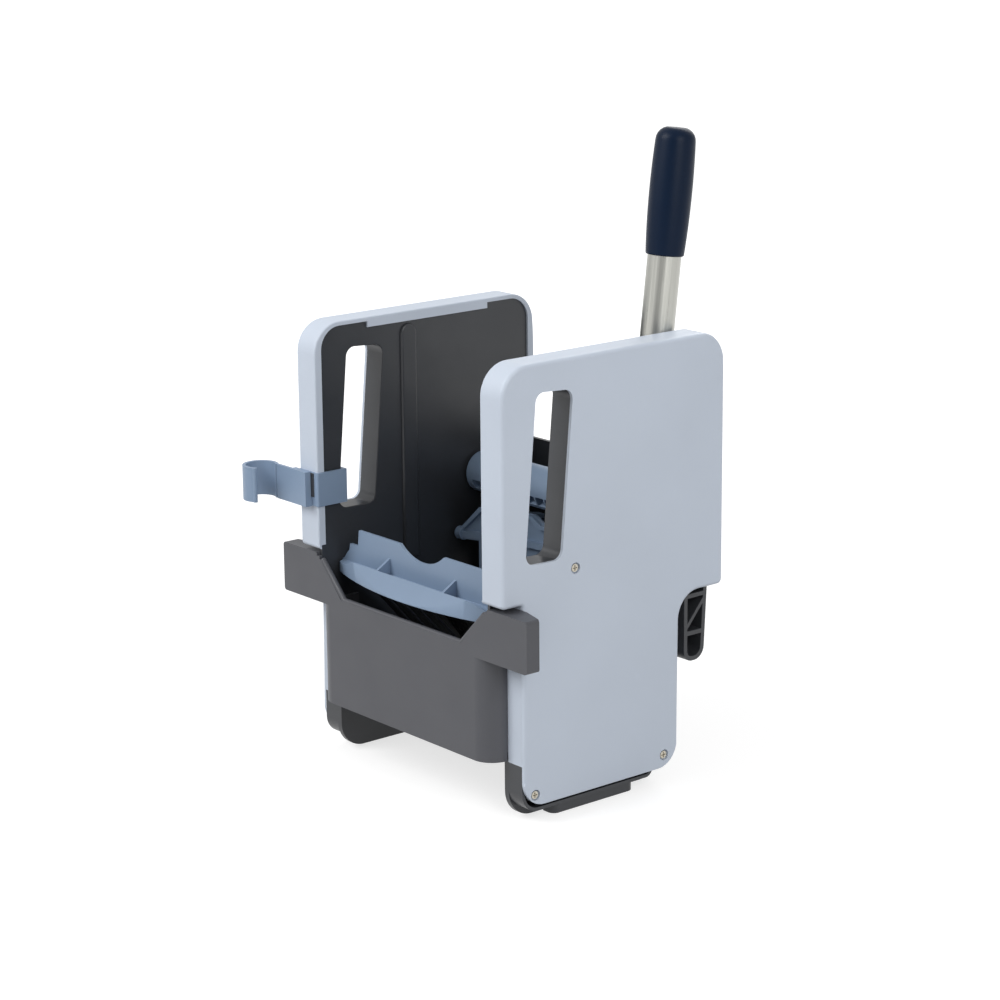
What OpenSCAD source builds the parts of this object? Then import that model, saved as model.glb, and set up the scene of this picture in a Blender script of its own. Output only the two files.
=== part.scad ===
// Lever press for flat mops, which stands or hangs in the bucket of a mop trolley.
// The front is -Y, the lever's side is +X and up is +Z. The origin is on the ground, midway between the two
// side panels and midway between the front and rear edges of their lower bodies.

/* [Side panels] */
// Width across the two outer covers
body_w = 289; // [284:1:300]
// Depth of a panel's upper part, front to rear
panel_depth = 256; // [250:1:266]
// Height of a panel, from its cover's bottom edge to its top
panel_h = 389; // [380:1:410]
// Thickness of a panel's upper part
panel_t = 28.4; // [27:0.1:30]
// Width of the cover's strip on the front of the lower body
strip_w = 21.5; // [20:0.1:22]
// Height of the front overhang's underside above the cover's bottom edge
front_over_h = 181.7; // [180:0.1:190]
// Height of the rear overhang's underside above the cover's bottom edge
rear_over_h = 157.6; // [150:0.1:160]
// How far the lower body stands back from the front edge
front_setback = 22; // [20:0.5:26]
// How far the lower body stands back from the rear edge
rear_setback = 52; // [48:0.5:56]
// How much the lower body's rear edge leans forward at its foot
rear_taper = 4; // [0:0.5:6]
// Corner radius of the upper part
corner_r = 28; // [20:1:34]
// Radius of the lower body's front bottom corner
foot_front_r = 23; // [18:1:26]
// Radius of the lower body's rear bottom corner
foot_rear_r = 22; // [20:1:30]
// Fillet between the rear overhang and the lower body
over_fillet_r = 24; // [10:1:30]

/* [Covers] */
// Wall of an outer cover
cover_t = 3; // [2.5:0.1:3.5]
// Thickness of the lip that wraps the inner shell
lip_t = 2.1; // [1.5:0.1:2.5]
// Width of the lip along the front edge
lip_front = 7.5; // [5:0.5:9]
// Width of the lip along the top edge
lip_top = 4; // [4:0.5:6]
// Width of the lip along the rear edge
lip_rear = 6.4; // [5:0.2:8]
// Length of the snap tab under the top edge
tab_len = 140; // [100:1:150]
// Depth of the snap tab below the top edge
tab_drop = 9.5; // [8:0.5:12]
// Height of the bare dark foot at the front of the lower body
bare_foot_h = 37.6; // [30:0.2:44]
// Radius of a cover screw's counterbore
counterbore_r = 5; // [4.5:0.1:6]

/* [Inner shells] */
// Wall of an inner shell
shell_t = 3; // [2.5:0.1:3.2]
// How far the shell's bottom lies below the cover's bottom edge
shell_drop = 6; // [4:0.5:8]
// How far the foot flange reaches below the cover's bottom edge
flange_drop = 15; // [12:0.5:16]
// Thickness of the foot flange
flange_t = 5.5; // [4:0.1:6]
// Corner radius of the foot flange
flange_r = 25; // [15:1:28]
// Width of the raised guide rib on the inner face
guide_w = 18; // [14:1:20]
// Height of the raised guide rib above the inner face
guide_rise = 2.5; // [1.5:0.1:3]

/* [Hand slots] */
// Height of a hand slot
slot_h = 147; // [130:1:150]
// Width of a hand slot
slot_w = 41; // [34:1:44]
// How far the slot leans back over its height
slot_lean = 13; // [5:1:15]
// Corner radius of the slot
slot_r = 9; // [6:0.5:12]
// Wall of the collar round the slot
collar_t = 2.6; // [2:0.1:3]

/* [Rear hooks] */
// Gap for the bucket's rear wall, between the lower body and the hook
hook_gap = 8.6; // [6:0.1:10]
// Depth of a hook at its top
hook_depth = 28; // [24:0.5:30]
// How far a hook reaches below the overhang
hook_drop = 66.5; // [50:0.5:75]
// Width of a hook's ribs
hook_rib = 4.2; // [3:0.1:5]

/* [Feet] */
// Height of the foot pads below the cover's bottom edge
foot_drop = 16; // [16:0.5:20]
// Width of a foot pad
pad_w = 14; // [10:0.5:14]
// Length of a foot pad
pad_len = 95.5; // [80:0.5:110]

/* [Front apron] */
// How far a wing reaches past its side panel
wing_len = 29.1; // [26:0.1:40]
// Depth of a wing
wing_depth = 14; // [12:0.5:16]
// Height of a wing
wing_h = 46.2; // [40:0.1:48]
// Gap between a wing's top and the overhang
wing_gap = 3.5; // [2:0.1:5]
// Wall of the apron
apron_t = 3.5; // [3:0.1:4]
// Height of the apron's middle top edge above its bottom edge
apron_h = 101.5; // [90:0.5:104]
// Height of the apron's bottom edge above the ground
apron_z = 54.5; // [50:0.5:56]
// Width of the apron's sloping corners
apron_corner = 30.1; // [24:0.1:36]
// Radius of the apron's upright corners
apron_r = 20; // [12:1:20]
// Radius of the beads on the apron's slanted edges
bead_r = 2.6; // [2:0.1:3]

/* [Counter plate] */
// Room between the counter plate's straight wall and a side panel
wall_inset = 24.1; // [22:0.1:30]
// Height of the wall's top edge above the ground
wall_top = 216; // [205:1:218]
// Width of the central notch at its top
notch_w = 62; // [50:1:70]
// Depth of the central notch
notch_h = 11.5; // [8:0.5:14]
// Wall of the counter plate
counter_t = 3; // [2.5:0.1:3.5]
// How far back the sloping pressing board's foot stands
board_foot_y = 22; // [10:1:26]
// Distance of the gussets from the middle
gusset_x = 47; // [40:1:60]

/* [Drum and lever] */
// Radius of the drum
drum_r = 19.5; // [18:0.5:20]
// Height of the drum's axis above the ground
axis_z = 241; // [240:0.5:242]
// Distance of the drum's axis behind the origin
axis_y = 78; // [77:0.5:79]
// Radius of the axle
axle_r = 6; // [5:0.5:7]
// Lean of the lever at rest
lever_lean = 7.1; // [5:0.1:9]
// How far the lever's middle line passes behind the axis
lever_offset = 7.4; // [6:0.2:8]
// Radius of the lever tube
tube_r = 15; // [13:0.5:15]
// Wall of the lever tube
tube_wall = 1.5; // [1.2:0.1:2]
// Distance from the axis to the grip's lower end
grip_start = 230; // [215:1:240]
// Length of the grip
grip_len = 112; // [100:1:130]
// Radius of the grip at its ends
grip_end_r = 17; // [16.4:0.1:17.4]
// Radius of the grip at its fullest
grip_r = 18.9; // [17.6:0.1:19.2]

/* [Press plate] */
// Radius at which the crank pins turn
crank_r = 48; // [47:0.5:49]
// How far the cranks stand behind the upright at rest
crank_back = 16; // [15:1:17]
// Turn of the lever, in degrees
lever_turn = 50; // [46:1:50]
// Turn of the press plate for each degree of the lever
plate_ratio = 0.65; // [0.62:0.01:0.66]
// Distance of the plate's pivot behind the origin
pivot_y = 67; // [66:0.5:68]
// Height of the plate's pivot above the ground
pivot_z = 74; // [73:0.5:75]
// Room between the press plate and a side panel
plate_gap = 3.1; // [2.5:0.1:6]
// Height of the press plate's top edge above the ground
plate_top = 214; // [208:0.5:214.5]
// Height of the plate's cross rib above the ground
rib_z = 186; // [180:0.5:188]
// Distance of the plate's back behind the origin, in the middle
web_y = 79; // [77:0.5:79.5]
// How far the plate's ends curve forward
plate_bow = 27; // [20:1:28]
// Radius of the crank pins
crank_pin_r = 4; // [3.5:0.1:4.5]

/* [Pole clip] */
// Inner radius of the clip's ring
ring_r = 13.5; // [11:0.5:14]
// Wall of the clip
clip_t = 3; // [2.5:0.1:3.5]
// Height of the clip
clip_h = 32; // [26:0.5:34]
// Height of the clip's middle above the ground
clip_z = 254; // [245:1:270]

/* [Hidden] */
$fn = 64;
big_fn = 480;

LIGHT = [0.74, 0.78, 0.84];
DARK = [0.16, 0.16, 0.18];
GREY = [0.38, 0.38, 0.41];
BLUE = [0.45, 0.54, 0.66];
NAVY = [0.07, 0.11, 0.22];
STEEL = [0.72, 0.71, 0.68];
BRONZE = [0.62, 0.48, 0.28];

// Planes across the width
half_w = body_w / 2;
in_x = half_w - panel_t;
strip_x = half_w - strip_w;
plate_x = half_w - cover_t;
shell_x = in_x + lip_t;
hook_x = plate_x - 1;

// Planes from front to rear
low_y = (panel_depth - front_setback - rear_setback) / 2;
front_y = -low_y - front_setback;
rear_y = low_y + rear_setback;

foot_rear_y = low_y - rear_taper;
sole_rear_y = low_y - 30;

// Heights above the ground
base_z = foot_drop;
top_z = base_z + panel_h;
front_over_z = base_z + front_over_h;
rear_over_z = base_z + rear_over_h;
bare_z = base_z + bare_foot_h;
shell_low_z = base_z - shell_drop;
flange_low_z = base_z - flange_drop;
floor_z = apron_z + 2.5;
floor_t = 4;

// Drain slots of the floor
drain_w = 8;
drain_len = 34;
drain_pitch = (in_x - 18.1) / 3.5;

// Rear wall
back_y = pivot_y + 17;
back_t = 4;
shelf_y = rear_y - 11;
back_top = axis_z + 25.5;
back_slot_w = 8;
back_slot_h = 26;
back_pitch = (in_x - 36.1) / 2.5;
tall = top_z - base_z;

// Screws that hold a cover on its shell, as [y, z]
screw_spots = [[-low_y + 12.5, base_z + 10], [low_y - 18.7, base_z + 11.6], [-32.2, base_z + 204.6]];
screw_pad_t = 2;
screw_pad_r = counterbore_r + 1.2;
screw_head_r = 3.6;
screw_r = 2;
counterbore_h = 3;

// Screws that hold the cross pieces to a shell, as [y, z]
frame_spots = [
    [-low_y + 12, apron_z + 27.5], [-low_y + 12, apron_z + 77.5], [-low_y + 12, wall_top - 39],
    [back_y - 6, pivot_z + 44], [shelf_y - 8, rear_over_z + 18.4], [-30, floor_z + 11], [36, floor_z + 11]
];
frame_head_r = 3.4;
frame_head_h = 2.6;
frame_r = 2;
tongue_t = 3;

// Guide rib inside a shell
guide_y = front_y + 107;
guide_low_z = rear_over_z - 2.6;
guide_top_z = top_z - 12;

// Hand slot
slot_y = front_y + 24.8;
slot_z = base_z + 215.5;

// Foot pads
pad_y = -low_y + 38;
pad_x = shell_x + flange_t;

// Hooks
hook_y = low_y + hook_gap;
hook_z = rear_over_z - hook_drop;

// Apron and wings
wing_y = front_y + 1;
wing_top = front_over_z - wing_gap;
wing_z = wing_top - wing_h;
apron_top = apron_z + apron_h;
wing_reach = half_w + wing_len;
cheek_y = wing_y + apron_t + 0.4;
apron_level = in_x - apron_corner;
corner_x = strip_x - apron_r;
bead_high = wing_top - 6.9;
bead_x = in_x - 1.1;
wing_root = 21;
wing_x = shell_x + shell_t + 0.4;

// Counter plate
wall_reach = in_x - wall_inset;
wall_y = -low_y + 5;
ridge_y = wall_y - 15;
ridge_z = wall_top - 25;
nose_y = wall_y - 24.5;
nose_z = wall_top - 42.5;
trough_y = wall_y - 6;
trough_z = ridge_z - 8.5;
nose_reach = in_x - 0.1;
nose_side = nose_reach - 34;
board_slot_w = 6;
screw_block = 12;
board_reach = shell_x - screw_block - 0.4;
board_pitch = (nose_reach - 26) / 4;
nose_bow = 20;
nose_round = (nose_reach * nose_reach + nose_bow * nose_bow) / (2 * nose_bow);
notch_round = (notch_w * notch_w / 4 + notch_h * notch_h) / (2 * notch_h);

// Drum, axle and bearings
running = 0.05;
side_gap = 0.3;
bush_r = 8.5;
bush_flange = 1.8;
bush_len = 9;
bush_face = shell_x - bush_flange;
washer_t = 1.1;
drum_end = bush_face - side_gap - washer_t;
hub_len = 36;
pocket_turn = 27;
pocket_w = 11;
pocket_h = 10;
pockets = floor((2 * drum_end - hub_len - 16) / (pocket_w + 2));
hub_r = 25;
socket_wall = 2.8;
socket_in = drum_end - hub_len;
lever_x = drum_end - hub_len / 2;
arm_t = 8;
arm_boss = 8;
arm_in = socket_in - arm_t - 1;
socket_len = 92;
tube_foot = 14;
bolt_at = 62;
bolt_r = 3;
spring_in = shell_x + bush_len + 1.3;
spring_len = plate_x - spring_in - 2;

// Press plate
plate_reach = in_x - plate_gap;
low_reach = plate_reach - 21;
ear_in = arm_in + arm_t + 1;
ear_t = 8;
ear_wall = 4;
slot_play = 0.35;
barrel_r = 9;
pivot_r = 5;
pivot_depth = 14.5;
web_t = 3;
rim_t = 7;
rim_w = 3.6;
boss_r = 6.2;
boss_y = pivot_y - 17.5;
plate_round = (plate_reach * plate_reach + plate_bow * plate_bow) / (2 * plate_bow);
shelf_t = 3.4;

// Pole clip
ring_x = -half_w - 33;
ring_y = front_y - 19.5;
arm_y = front_y - 8.5;
clamp_t = 2.8;
clip_end = half_w - 21.7;
clip_head = 23.5;
clamp_web = 2;
clamp_hook_y = front_y + 28.4;
clamp_hook_t = 2.5;
mouth_low = -54;
mouth_high = 54.7;

// Helpers for outlines whose corners are given as [x, y, radius]
function xy(q) = [q[0], q[1]];
function unit(v) = v / norm(v);
function back_dir(p, i) = unit(xy(p[(i + len(p) - 1) % len(p)]) - xy(p[i]));
function next_dir(p, i) = unit(xy(p[(i + 1) % len(p)]) - xy(p[i]));
function half_angle(p, i) = acos(back_dir(p, i) * next_dir(p, i)) / 2;
function bend(p, i) = cross(next_dir(p, i), back_dir(p, i));
function trim(p, i) = p[i][2] / tan(half_angle(p, i));
function corner_mid(p, i) = xy(p[i]) + unit(back_dir(p, i) + next_dir(p, i)) * p[i][2] / sin(half_angle(p, i));
function corner_points(p, i) = p[i][2] > 0
    ? [xy(p[i]) + back_dir(p, i) * trim(p, i), xy(p[i]) + next_dir(p, i) * trim(p, i)]
    : [xy(p[i])];

// Flat shape with rounded corners, listed counterclockwise
module round_poly(p) {
    difference() {
        union() {
            polygon([for (i = [0 : len(p) - 1]) each corner_points(p, i)]);
            for (i = [0 : len(p) - 1])
                if (p[i][2] > 0 && bend(p, i) > 0)
                    translate(corner_mid(p, i))
                        circle(r = p[i][2]);
        }
        for (i = [0 : len(p) - 1])
            if (p[i][2] > 0 && bend(p, i) < 0)
                translate(corner_mid(p, i))
                    circle(r = p[i][2]);
    }
}

// Plate across the width: its flat shape is drawn in [y, z]
module side_plate(x, t) {
    translate([x, 0, 0])
        rotate([90, 0, 90])
            linear_extrude(t)
                children();
}

// Plate that faces the front: its flat shape is drawn in [x, z]
module front_plate(y, t) {
    translate([0, y + t, 0])
        rotate([90, 0, 0])
            linear_extrude(t)
                children();
}

// Round bar along the width
module cross_bar(x, y, z, r, len) {
    translate([x, y, z])
        rotate([0, 90, 0])
            cylinder(r = r, h = len);
}

// Both sides of a piece that is drawn for +X
module both_sides() {
    children();
    mirror([1, 0, 0])
        children();
}

// Outline of a side panel, moved in by d
function outline(d) = [
    [-low_y + d, base_z + d, foot_front_r - d],
    [low_y - rear_taper - d, base_z + d, foot_rear_r - d],
    [low_y - d, rear_over_z + d, over_fillet_r + d],
    [rear_y - d, rear_over_z + d, max(5 - d, 0.6)],
    [rear_y - d, top_z - d, corner_r - d],
    [front_y + d, top_z - d, corner_r - d],
    [front_y + d, front_over_z + d, max(4 - d, 0.6)],
    [-low_y + d, front_over_z + d, 2 + d]
];

// The lower body's part of the panel
module low_area() {
    translate([-low_y - 30, -20])
        square([low_y + 30, front_over_z + 20]);
    translate([-1, -20])
        square([rear_y + 1, rear_over_z - over_fillet_r + 20]);
}

// Outline of the foot, from its lowest edge up to the bare strip's top, moved in by d
function foot_outline(low, r_front, r_rear, d, rear) = [
    [-low_y + d, low + d, r_front - d],
    [rear - d, low + d, r_rear - d],
    [rear - d, bare_z - d, 0],
    [-low_y + d, bare_z - d, 0]
];

// Outline of a hand slot, made larger by d
function slot_outline(d) = [
    [slot_y - d, slot_z + 0.5 - d, slot_r + d],
    [slot_y + slot_w + d, slot_z - 0.5 - d, slot_r + d],
    [slot_y + slot_w + slot_lean + d, slot_z + slot_h - 1.2 + d, slot_r + d],
    [slot_y + slot_lean - d, slot_z + slot_h + 1.2 + d, slot_r + d]
];

// Outline of a hook, made smaller by d
function hook_outline(d) = [
    [hook_y + d, hook_z + d, 10 - d],
    [hook_y + hook_depth - 4 - d, hook_z + d, 12 - d],
    [hook_y + hook_depth - d, rear_over_z + 5, 0],
    [hook_y + d, rear_over_z + 5, 0]
];

// Lip that wraps the inner shell
module lip_area() {
    difference() {
        round_poly(outline(0));
        low_area();
        round_poly([
            [front_y + lip_front, base_z, 0],
            [rear_y - lip_rear, base_z, 0],
            [rear_y - lip_rear, top_z - lip_top, corner_r - lip_rear],
            [front_y + lip_front, top_z - lip_top, corner_r - lip_front]
        ]);
    }
    translate([(front_y + rear_y - tab_len) / 2 + 2, top_z - tab_drop])
        square([tab_len, tab_drop - cover_t]);
}

// Outer cover of the lever's side
module outer_cover() {
    color(LIGHT)
        difference() {
            union() {
                side_plate(plate_x, cover_t)
                    round_poly(outline(0));
                difference() {
                    side_plate(in_x, plate_x - in_x + 0.5)
                        difference() {
                            round_poly(outline(0));
                            round_poly(outline(cover_t));
                        }
                    side_plate(in_x - 1, strip_x - in_x + 1)
                        low_area();
                    translate([in_x - 1, -low_y - 20, -20])
                        cube([plate_x - in_x + 1, 2 * low_y + 60, bare_z + 20]);
                }
                side_plate(in_x, lip_t)
                    lip_area();
                for (p = screw_spots)
                    cross_bar(plate_x - screw_pad_t, p[0], p[1], screw_pad_r, screw_pad_t + 0.5);
            }
            translate([in_x - 1, front_y + cover_t, front_over_z - 1])
                cube([shell_x + shell_t + 1.2 - in_x, front_setback + cover_t, cover_t + 1.9]);
            side_plate(plate_x - 1, cover_t + 2)
                round_poly(slot_outline(0));
            for (p = screw_spots) {
                cross_bar(half_w - counterbore_h, p[0], p[1], counterbore_r, counterbore_h + 1);
                cross_bar(plate_x - screw_pad_t - 1, p[0], p[1], screw_r, 10);
            }
            translate([shell_x, hook_y, rear_over_z - over_fillet_r])
                cube([hook_x - shell_x, hook_depth, over_fillet_r + cover_t + 0.5]);
        }
}

// Hook that goes behind the bucket's wall, open on its outer side
module hook() {
    side_plate(shell_x, 2.6)
        round_poly(hook_outline(0));
    side_plate(shell_x, hook_x - shell_x)
        intersection() {
            round_poly(hook_outline(0));
            union() {
                difference() {
                    round_poly(hook_outline(0));
                    round_poly(hook_outline(hook_rib));
                }
                translate([hook_y - 1, rear_over_z - 8])
                    square([hook_depth + 2, hook_rib]);
                translate([hook_y - 1, hook_z + hook_drop * 0.36])
                    square([hook_depth + 2, hook_rib]);
                polygon([
                    [hook_y, hook_z + hook_drop * 0.38],
                    [hook_y, hook_z + hook_drop * 0.38 + 5],
                    [hook_y + hook_depth, rear_over_z - 4],
                    [hook_y + hook_depth, rear_over_z - 9]
                ]);
            }
        }
}

// Inner shell of the lever's side
module inner_shell() {
    color(DARK)
        difference() {
            union() {
                difference() {
                    union() {
                        side_plate(shell_x, plate_x - shell_x)
                            difference() {
                                round_poly(outline(cover_t));
                                translate([-low_y - 20, 0])
                                    square([2 * low_y + 60, bare_z - 1]);
                            }
                        side_plate(shell_x, strip_x - shell_x)
                            intersection() {
                                round_poly(outline(0));
                                low_area();
                                translate([-low_y - 20, bare_z])
                                    square([2 * low_y + 60, 300]);
                            }
                        translate([shell_x, front_y + cover_t + 0.4, front_over_z + 0.4])
                            cube([shell_t, front_setback + 2, cover_t + 1]);
                        translate([shell_x, cheek_y, wing_z + 1.6])
                            cube([shell_t, 2 - low_y - cheek_y, front_over_z - wing_z]);
                        side_plate(shell_x, plate_x - shell_x)
                            round_poly(foot_outline(shell_low_z, 18, 8, 0, sole_rear_y));
                        side_plate(shell_x, plate_x - shell_x)
                            round_poly(foot_outline(base_z, 18, foot_rear_r, 0.2, foot_rear_y));
                        side_plate(shell_x, flange_t)
                            round_poly(foot_outline(flange_low_z, flange_r, flange_r, 0, foot_rear_y - 0.4));
                    }
                    side_plate(shell_x + shell_t, 60)
                        round_poly(outline(cover_t + shell_t));
                    side_plate(shell_x + shell_t, 60)
                        round_poly(foot_outline(shell_low_z, 18, 8, shell_t, sole_rear_y));
                }
                side_plate(shell_x, plate_x - shell_x)
                    round_poly(slot_outline(collar_t));
                side_plate(shell_x - guide_rise, guide_rise + 0.5)
                    union() {
                        translate([guide_y - guide_w / 2, guide_low_z])
                            square([guide_w, guide_top_z - guide_low_z - guide_w / 2]);
                        translate([guide_y, guide_top_z - guide_w / 2])
                            circle(r = guide_w / 2);
                    }
                for (p = screw_spots)
                    cross_bar(shell_x + 1, p[0], p[1], 5.4, plate_x - screw_pad_t - shell_x - 1);
                cross_bar(shell_x + 1, axis_y, axis_z, 13, bush_len - 1);
                cross_bar(shell_x - 4.6, pivot_y, pivot_z, 9, 5);
                cross_bar(shell_x + 1, pivot_y, pivot_z, 10, bush_len - 1);
                hook();
            }
            side_plate(shell_x - 5, 60)
                round_poly(slot_outline(0));
            cross_bar(shell_x - 1, axis_y, axis_z, bush_r, 20);
            cross_bar(shell_x - 6, pivot_y, pivot_z, pivot_r, 20);
            for (p = screw_spots) {
                cross_bar(plate_x - 14, p[0], p[1], screw_r, 20);
                cross_bar(plate_x - screw_pad_t - 0.2, p[0], p[1], screw_pad_r + 0.3, screw_pad_t + 1);
            }
            for (p = frame_spots)
                cross_bar(shell_x - 5, p[0], p[1], frame_r, 20);
            for (y = [pad_y + 16, pad_y + pad_len - 16])
                translate([pad_x + pad_w / 2, y, shell_low_z - 1])
                    cylinder(r = 3, h = shell_t + 4);
        }
}

// Foot pad of the lever's side
module foot_pad() {
    color(DARK) {
        linear_extrude(shell_low_z)
            round_poly([
                [pad_x, pad_y, 1],
                [pad_x + pad_w, pad_y, 7],
                [pad_x + pad_w, pad_y + pad_len, 7],
                [pad_x, pad_y + pad_len, 1]
            ]);
        for (y = [pad_y + 16, pad_y + pad_len - 16])
            translate([pad_x + pad_w / 2, y, shell_low_z - 1])
                cylinder(r = 3, h = shell_t + 2);
    }
}

// Screws of the lever side's cover
module cover_screws() {
    color(STEEL)
        for (p = screw_spots)
            difference() {
                union() {
                    cross_bar(half_w - counterbore_h, p[0], p[1], screw_head_r, 2.2);
                    cross_bar(plate_x - 13, p[0], p[1], screw_r, 14);
                }
                for (a = [0, 90])
                    translate([half_w - 0.8 - 1.3, p[0], p[1]])
                        rotate([a, 0, 0])
                            translate([0, -2.4, -0.45])
                                cube([3, 4.8, 0.9]);
            }
}

// Screws that hold the cross pieces to the lever side's shell
module frame_screws() {
    color(STEEL)
        for (p = frame_spots) {
            cross_bar(shell_x + shell_t, p[0], p[1], frame_head_r, frame_head_h);
            cross_bar(shell_x - tongue_t + 0.4, p[0], p[1], frame_r, tongue_t + shell_t);
        }
}

// Hole for a frame screw in a cross piece's tongue
module frame_hole(k) {
    cross_bar(shell_x - tongue_t - 12, frame_spots[k][0], frame_spots[k][1], frame_r, tongue_t + 14);
}

// Right half of the apron's front view, from the bottom up
function apron_points(k) = [
    [corner_x * k, apron_z, 0],
    [corner_x * k, wing_z, 0],
    [(in_x + 8) * k, wing_z, 0],
    [(in_x + 8) * k, wing_top - 3, 0],
    [(in_x + 1.6) * k, wing_top - 3, 0],
    [(in_x + 1.6) * k, bead_high + 1.2, 0],
    [bead_x * k, bead_high + 0.8, 0],
    [apron_level * k, apron_top, 3]
];

function reversed(p) = [for (i = [len(p) - 1 : -1 : 0]) p[i]];

// Front view of a wing, moved in by d
function wing_outline(d) = [
    [wing_x + d, wing_z + d, 0],
    [wing_reach - d, wing_z + d, 3 - d / 2],
    [wing_reach - d, wing_top - d, 3 - d / 2],
    [wing_x + d, wing_top - d, 1.5 - d / 4]
];

// A wing seen from above: it is deeper at its root, where it meets the panel
module wing_plan() {
    polygon([
        [in_x, wing_y],
        [wing_reach + 1, wing_y],
        [wing_reach + 1, wing_y + wing_depth],
        [wing_reach, wing_y + wing_depth],
        [half_w + 6, wing_y + wing_root - 0.6],
        [half_w, wing_y + wing_root - 0.3],
        [in_x, wing_y + wing_root - 0.3]
    ]);
}

// Front wall with the wings that rest on the bucket's edges
module front_apron() {
    bead_y = wing_y + bead_r + 0.2;
    rise = bead_high - apron_top;
    run = bead_x - apron_level + 2;
    color(GREY)
        difference() {
            union() {
                front_plate(wing_y, apron_t)
                    round_poly(concat(apron_points(1), reversed(apron_points(-1))));
                translate([-apron_level + 2, bead_y, apron_top])
                    rotate([0, 90, 0])
                        cylinder(r = bead_r, h = 2 * apron_level - 4);
                both_sides() {
                    translate([corner_x, wing_y + apron_r, apron_z])
                        intersection() {
                            difference() {
                                cylinder(r = apron_r, h = wing_z + 1 - apron_z);
                                translate([0, 0, -1])
                                    cylinder(r = apron_r - apron_t, h = 200);
                            }
                            translate([0, -apron_r - 1, 0])
                                cube([apron_r + 1, apron_r + 1, 200]);
                        }
                    difference() {
                        intersection() {
                            front_plate(wing_y, wing_root)
                                round_poly(wing_outline(0));
                            translate([0, 0, wing_z - 1])
                                linear_extrude(wing_h + 2)
                                    wing_plan();
                        }
                        front_plate(wing_y + apron_t, wing_root)
                            round_poly(wing_outline(apron_t));
                    }
                    translate([shell_x - tongue_t, wing_y + apron_r - 3, apron_z + 8])
                        cube([strip_x - shell_x + tongue_t - 0.2, -low_y - wing_y - apron_r + 3, 87]);
                    translate([shell_x - tongue_t, -low_y - 1, apron_z + 8])
                        cube([tongue_t, 22, 87]);
                    translate([apron_level - 2, bead_y, apron_top])
                        sphere(r = bead_r + 0.1);
                    translate([apron_level - 2, bead_y, apron_top])
                        rotate([0, atan2(run, rise), 0])
                            cylinder(r = bead_r, h = norm([run, rise]));
                    translate([bead_x, bead_y, bead_high])
                        sphere(r = bead_r + 0.1);
                }
            }
            both_sides() {
                frame_hole(0);
                frame_hole(1);
            }
        }
}

// Wall behind the drum, with a shelf over the bucket's rear edge
module rear_wall() {
    foot = floor_z + floor_t;
    deep = shelf_y - back_y + back_t;
    tongue_z = rear_over_z + shelf_t;
    color(DARK)
        difference() {
            union() {
                translate([-shell_x, back_y, foot])
                    cube([2 * shell_x, back_t, rear_over_z - over_fillet_r - foot - 0.5]);
                translate([-in_x, back_y, foot])
                    cube([2 * in_x, back_t, tongue_z - foot]);
                translate([-in_x, back_y, rear_over_z])
                    cube([2 * in_x, deep, shelf_t]);
                translate([-in_x, shelf_y, rear_over_z])
                    cube([2 * in_x, back_t, back_top - rear_over_z]);
                both_sides() {
                    translate([shell_x - tongue_t, shelf_y - 20, tongue_z])
                        cube([tongue_t, 20 + back_t, 30]);
                    translate([in_x - 3, shelf_y - 20, rear_over_z])
                        cube([3, 20 + back_t, shelf_t + 29.6]);
                    translate([shell_x - tongue_t, back_y - 14, frame_spots[3][1] - 14])
                        cube([tongue_t, 15, 28]);
                }
            }
            translate([lever_x - tube_r - 6, shelf_y - 12, rear_over_z + 41.4])
                cube([2 * tube_r + 30, 30, tall]);
            both_sides() {
                frame_hole(3);
                frame_hole(4);
            }
            for (k = [-2.5 : 1 : 2.5])
                for (z = [pivot_z + 10, pivot_z + 50])
                    translate([k * back_pitch - back_slot_w / 2, back_y - back_t, z])
                        cube([back_slot_w, 3 * back_t, back_slot_h]);
        }
}

// Slotted board that leans from the counter plate's back to the floor
module strainer_board() {
    slope = (board_foot_y - wall_y - 0.4) / (trough_z - 1.4 - floor_z - floor_t);
    back = wall_y + counter_t;
    difference() {
        side_plate(-board_reach, 2 * board_reach)
            polygon([
                [back, trough_z - 1.4 - (counter_t - 0.4) / slope],
                [back, trough_z + 1.4 - 0.4 / slope],
                [board_foot_y + counter_t * 1.3, floor_z + floor_t],
                [board_foot_y + counter_t * 1.3, floor_z + 1],
                [board_foot_y, floor_z + 1],
                [board_foot_y, floor_z + floor_t]
            ]);
        for (k = [-4 : 4])
            translate([k * board_pitch - board_slot_w / 2, wall_y + 16, floor_z + 25])
                cube([board_slot_w, board_foot_y - wall_y, wall_top - floor_z - 87]);
    }
}

// Drained floor
module strainer_floor() {
    color(DARK)
        difference() {
            union() {
                strainer_board();
                translate([-shell_x, -low_y + 3, floor_z])
                    cube([2 * shell_x, low_y - 3 + back_y, floor_t]);
                translate([-corner_x + 4, wing_y + apron_t, floor_z])
                    cube([2 * corner_x - 8, -low_y + 4 - wing_y - apron_t, floor_t]);
                both_sides()
                    translate([shell_x - tongue_t, frame_spots[5][0] - 24, floor_z])
                        cube([tongue_t, frame_spots[6][0] - frame_spots[5][0] + 38, 19]);
            }
            both_sides() {
                frame_hole(5);
                frame_hole(6);
            }
            for (k = [-3.5 : 1 : 3.5])
                for (y = [-low_y + 11, -low_y + 59, -low_y + 123])
                    translate([k * drain_pitch - drain_w / 2, y, floor_z - 1])
                        cube([drain_w, drain_len, floor_t + 2]);
        }
}

// Both halves of a flat shape that is drawn for +X
module both_sides_flat() {
    children();
    mirror([1, 0])
        children();
}

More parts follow.
